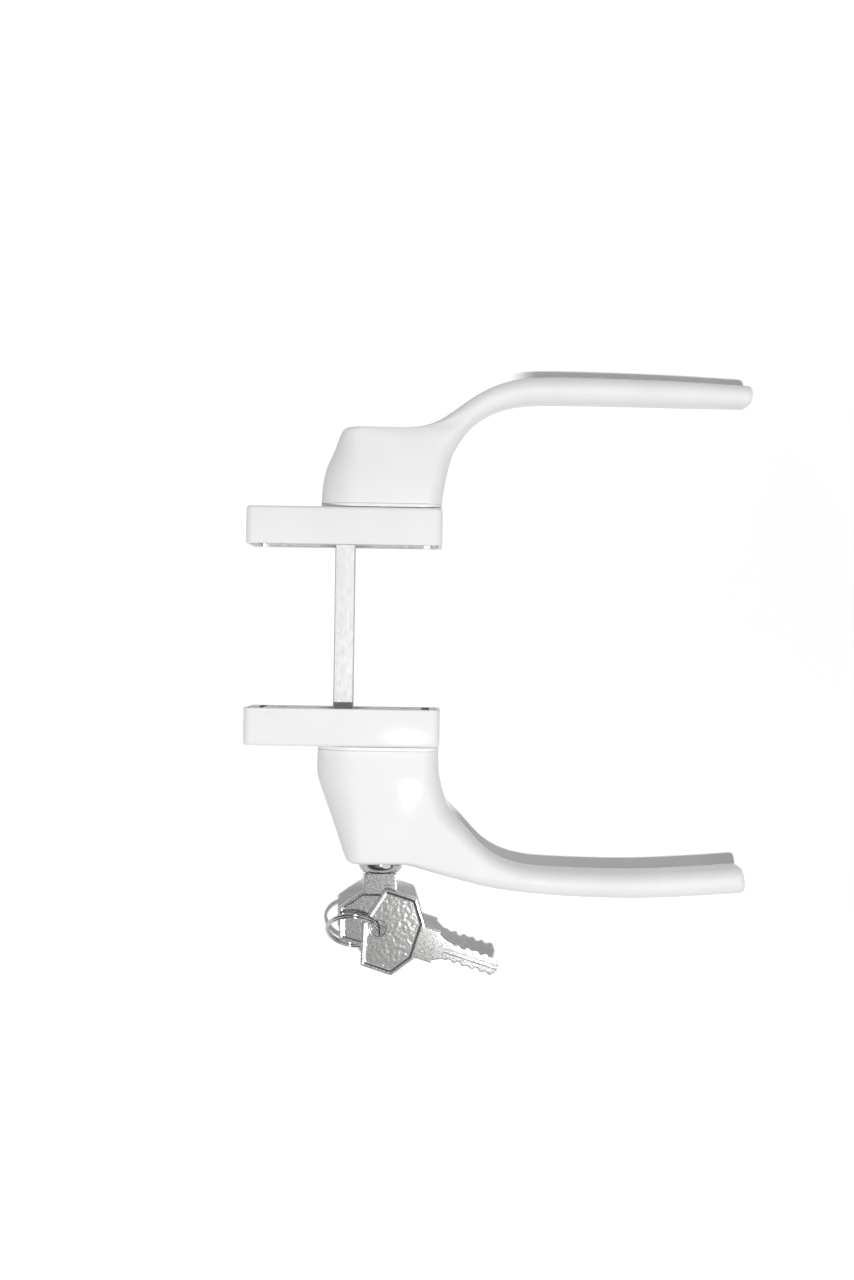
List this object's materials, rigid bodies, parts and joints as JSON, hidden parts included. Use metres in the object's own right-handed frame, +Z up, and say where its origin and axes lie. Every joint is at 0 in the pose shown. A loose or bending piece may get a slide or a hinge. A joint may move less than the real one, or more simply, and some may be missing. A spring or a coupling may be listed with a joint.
{
  "type": "keyed door handle",
  "caption": "Double-sided lever handle for a narrow-stile door: white levers on slim rosettes, square spindle, key lock in the outside lever, keys on a split ring.",
  "frame": {"origin": "on the spindle's axis in the outside face of the door, at the centre of the outside rosette's two fixing holes", "axes": "+X along both levers at rest, +Y along the spindle from the outside handle to the inside handle, +Z up"},
  "size_m": [0.1758, 0.2101, 0.033],
  "materials": {
    "white_paint": "gloss white powder coat on cast aluminium",
    "cast_zinc": "plain casting",
    "nylon": "moulded",
    "hard_steel": "polished balls",
    "spring_steel": "plain spring steel",
    "screw_steel": "zinc plated",
    "spindle_steel": "bright zinc plated, drawn",
    "lock_chrome": "polished",
    "lock_brass": "machined",
    "key_nickel": "nickel plated, tumbled, coined bow",
    "ring_nickel": "polished nickel"
  },
  "bodies": {
    "door_mount": {"outside_rosette": "white_paint", "outside_base_plate": "cast_zinc", "outside_bush": "nylon", "outside_detent_balls": "hard_steel", "outside_detent_springs": "spring_steel", "outside_detent_screws": "screw_steel", "inside_rosette": "white_paint", "inside_base_plate": "cast_zinc", "inside_bush": "nylon", "inside_detent_balls": "hard_steel", "inside_detent_springs": "spring_steel", "inside_detent_screws": "screw_steel"},
    "handles": {"spindle": "spindle_steel", "spindle_pin": "screw_steel", "inside_grub_screw": "screw_steel", "outside_lever": "white_paint", "outside_hub": "white_paint", "outside_hub_screws": "screw_steel", "outside_circlip": "spring_steel", "inside_lever": "white_paint", "inside_hub": "white_paint", "inside_hub_screws": "screw_steel", "inside_circlip": "spring_steel", "lock_housing": "lock_chrome", "lock_screw": "screw_steel"},
    "plug": {"lock_plug": "lock_brass", "plug_ring": "spring_steel", "wafers": "lock_brass", "wafer_springs": "spring_steel", "lock_cam": "lock_brass"},
    "bolt": {"lock_bolt": "spindle_steel", "bolt_pin": "screw_steel"},
    "key": {"inserted_key": "key_nickel"},
    "ring": {"split_ring": "ring_nickel"},
    "loose_key": {"spare_key": "key_nickel"}
  },
  "joints": [
    {"name": "lever_turn", "type": "hinge", "parent": "door_mount", "child": "handles", "pos_m": [0, 0, 0], "axis": [0, -1, 0], "range_deg": [0, 90]},
    {"name": "key_turn", "type": "hinge", "parent": "handles", "child": "plug", "pos_m": [0.014, -0.05, 0], "axis": [0, -1, 0], "range_deg": [0, 90]},
    {"name": "bolt_slide", "type": "slide", "parent": "handles", "child": "bolt", "axis": [0, 1, 0], "range_m": [0, 0.004]},
    {"name": "key_slide", "type": "slide", "parent": "plug", "child": "key", "axis": [0, -1, 0], "range_m": [0, 0.026]},
    {"name": "ring_swing", "type": "hinge", "parent": "key", "child": "ring", "pos_m": [0.014, -0.0797, 0], "axis": [0, 0, 1], "range_deg": [-10, 15]},
    {"name": "loose_key_swing", "type": "hinge", "parent": "ring", "child": "loose_key", "pos_m": [0.0136, -0.0774, 0.0025], "axis": [0, 0, 1], "range_deg": [-60, 15]}
  ],
  "couplings": [
    {"joint": "bolt_slide", "follows": "key_turn", "m_per_rad": 0.0025464}
  ]
}
